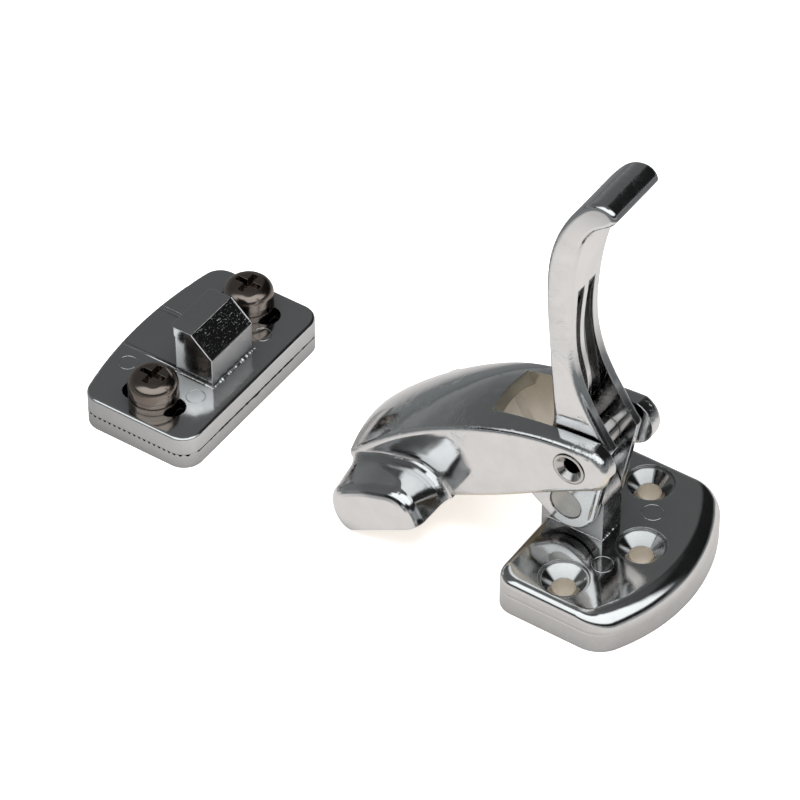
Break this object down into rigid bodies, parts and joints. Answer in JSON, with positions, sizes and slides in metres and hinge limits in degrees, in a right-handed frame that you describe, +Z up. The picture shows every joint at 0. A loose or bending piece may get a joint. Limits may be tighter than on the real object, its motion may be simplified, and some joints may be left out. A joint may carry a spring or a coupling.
{
  "type": "toggle latch",
  "caption": "Chrome toggle latch with a long lever handle, a winged pull-down arm on a bowed base plate, and a separate adjustable toothed keeper with a hooked striker.",
  "frame": {"origin": "on the underside of the base plate, straight below the lower pin, half-way between the plate's sides", "axes": "+X from the hook and keeper towards the bowed front of the base plate, +Y along the pins, +Z up, away from the mounting surface"},
  "size_m": [0.1507, 0.0562, 0.1122],
  "materials": {
    "plate_chrome": "polished plating on a die casting",
    "handle_chrome": "polished plating on a die casting",
    "arm_chrome": "polished plating on a die casting",
    "keeper_chrome": "polished plating on a die casting",
    "rivet_steel": "bright plated steel",
    "screw_steel": "dark nickel-plated steel"
  },
  "bodies": {
    "base": {"base_plate": "plate_chrome", "lower_rivet": "rivet_steel", "keeper_base": "keeper_chrome", "striker": "keeper_chrome", "screw_near": "screw_steel", "flat_washer_near": "screw_steel", "spring_washer_near": "screw_steel", "screw_far": "screw_steel", "flat_washer_far": "screw_steel", "spring_washer_far": "screw_steel"},
    "handle": {"handle": "handle_chrome"},
    "pin": {"upper_rivet": "rivet_steel"},
    "arm": {"latch_arm": "arm_chrome"}
  },
  "joints": [
    {"name": "handle_pivot", "type": "hinge", "parent": "base", "child": "handle", "pos_m": [0, 0, 0.0199], "axis": [0, 1, 0], "range_deg": [0, 80]},
    {"name": "rivet", "type": "hinge", "parent": "handle", "child": "pin", "pos_m": [0.0036, 0, 0.0369], "axis": [0, 1, 0], "range_deg": [-56, 1]},
    {"name": "arm_swing", "type": "hinge", "parent": "pin", "child": "arm", "pos_m": [0.0036, 0, 0.0369], "axis": [0, 1, 0], "range_deg": [0, 45]}
  ],
  "couplings": [
    {"joint": "rivet", "follows": "handle_pivot", "ratio": -0.6325}
  ]
}
